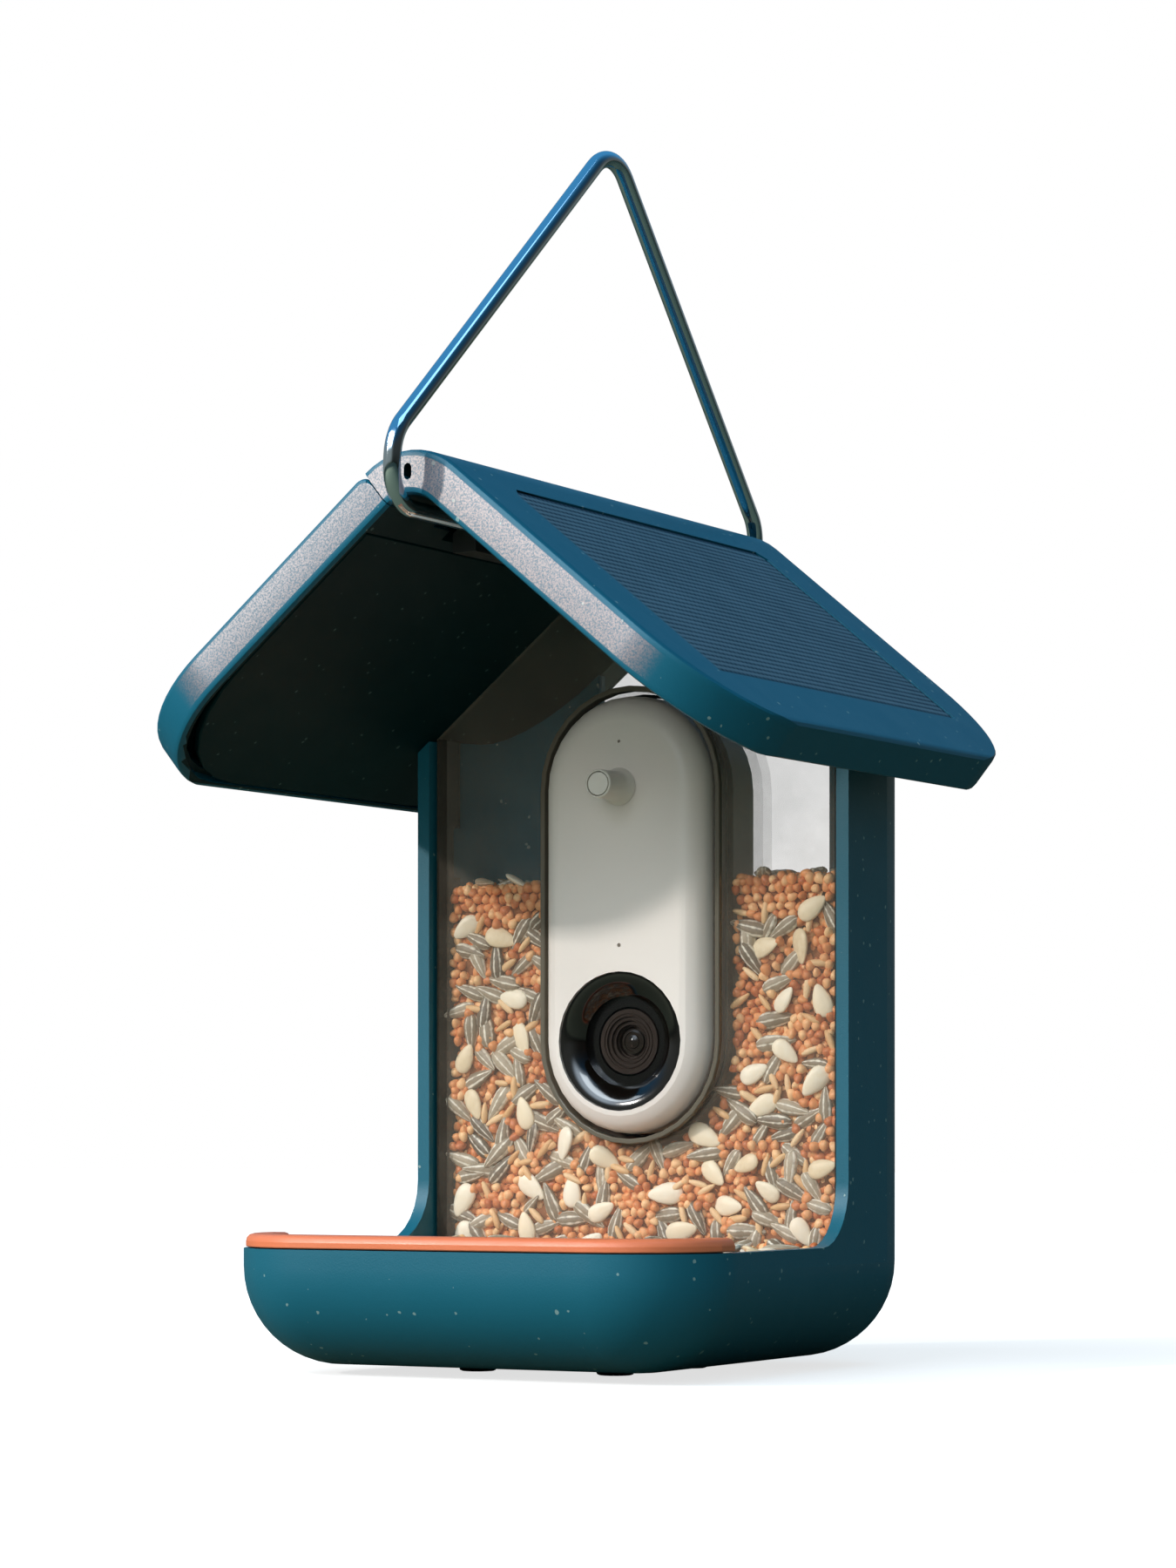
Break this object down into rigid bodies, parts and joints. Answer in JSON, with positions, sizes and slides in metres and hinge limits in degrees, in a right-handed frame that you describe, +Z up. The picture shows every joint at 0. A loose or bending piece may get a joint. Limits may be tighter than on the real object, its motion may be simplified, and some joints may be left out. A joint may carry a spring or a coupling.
{
  "type": "camera bird feeder",
  "caption": "Hanging bird feeder: a roofed seed hopper with an open tray and perch, a hinged filling lid, a wire hanger, a solar roof and a camera that pulls out",
  "frame": {"origin": "under the middle of the base, level with the undersides of the rubber feet", "axes": "+Z up, -Y towards the tray and the camera's front, +X towards the solar slope of the roof"},
  "size_m": [0.1844, 0.1984, 0.3251],
  "materials": {
    "house": "satin recycled plastic with sparse light flecks",
    "roof_blue": "satin recycled plastic with sparse light flecks",
    "liner": "satin",
    "clear_window": "clear moulded plastic",
    "frosted_window": "frosted",
    "dark_plastic": "fine matt",
    "seal_rubber": "soft",
    "foot_rubber": "soft",
    "insert_brass": "turned",
    "screw_steel": "plated",
    "wire_steel": "polished",
    "solar_cells": "dark cells under resin",
    "solar_cover": "fine ribs",
    "camera_white": "satin",
    "lens_black": "polished",
    "lens_glass": "coated",
    "sensor_white": "satin",
    "board_green": "solder mask",
    "battery_wrap": "shrink wrap",
    "button_grey": "satin",
    "perch_orange": "satin",
    "seed_mix": "loose seed"
  },
  "bodies": {
    "house": {"house_shell": "house", "tray_floor": "house", "roof_shell": "roof_blue", "roof_liner": "liner", "front_window": "clear_window", "rear_window": "frosted_window", "camera_pocket": "clear_window", "pocket_seal": "seal_rubber", "ridge_beam": "dark_plastic", "hinge_pin": "screw_steel", "mount_boss": "dark_plastic", "mount_insert": "insert_brass", "solar_cells": "solar_cells", "solar_cover": "solar_cover", "hopper_seed": "seed_mix", "tray_seed": "seed_mix", "foot_front_left": "foot_rubber", "foot_front_right": "foot_rubber", "foot_rear_left": "foot_rubber", "foot_rear_right": "foot_rubber", "beam_screw_1": "screw_steel", "beam_screw_2": "screw_steel", "beam_screw_3": "screw_steel", "beam_screw_4": "screw_steel"},
    "lid": {"lid_shell": "roof_blue", "lid_liner": "liner"},
    "hanger": {"hanger_wire": "wire_steel"},
    "perch": {"perch_strip": "perch_orange"},
    "power_button": {"power_button": "button_grey"},
    "camera_module": {"module_front_shell": "camera_white", "module_rear_shell": "camera_white", "module_seam": "seal_rubber", "lens_bezel": "lens_black", "lens_window": "lens_glass", "lens_barrel": "lens_black", "lens_dome": "lens_glass", "sensor_stem": "sensor_white", "sensor_cap": "sensor_white", "camera_board": "board_green", "battery_pack": "battery_wrap", "port_cover": "seal_rubber", "module_screw_1": "screw_steel", "module_screw_2": "screw_steel", "module_screw_3": "screw_steel", "module_screw_4": "screw_steel"}
  },
  "joints": [
    {"name": "lid_hinge", "type": "hinge", "parent": "house", "child": "lid", "pos_m": [-0.01388, 0, 0.22466], "axis": [0, 1, 0], "range_deg": [0, 90]},
    {"name": "hanger_swing", "type": "hinge", "parent": "house", "child": "hanger", "pos_m": [0, 0, 0.21923], "axis": [0, 1, 0], "range_deg": [-80, 75]},
    {"name": "camera_pull", "type": "slide", "parent": "house", "child": "camera_module", "axis": [0, -1, 0], "range_m": [0, 0.06]},
    {"name": "button_press", "type": "slide", "parent": "camera_module", "child": "power_button", "axis": [0, -1, 0], "range_m": [0, 0.001], "stiffness_N_per_m": 600, "springref_m": -0.0005},
    {"name": "perch_lift", "type": "slide", "parent": "house", "child": "perch", "axis": [0, 0, 1], "range_m": [0, 0.04]}
  ]
}
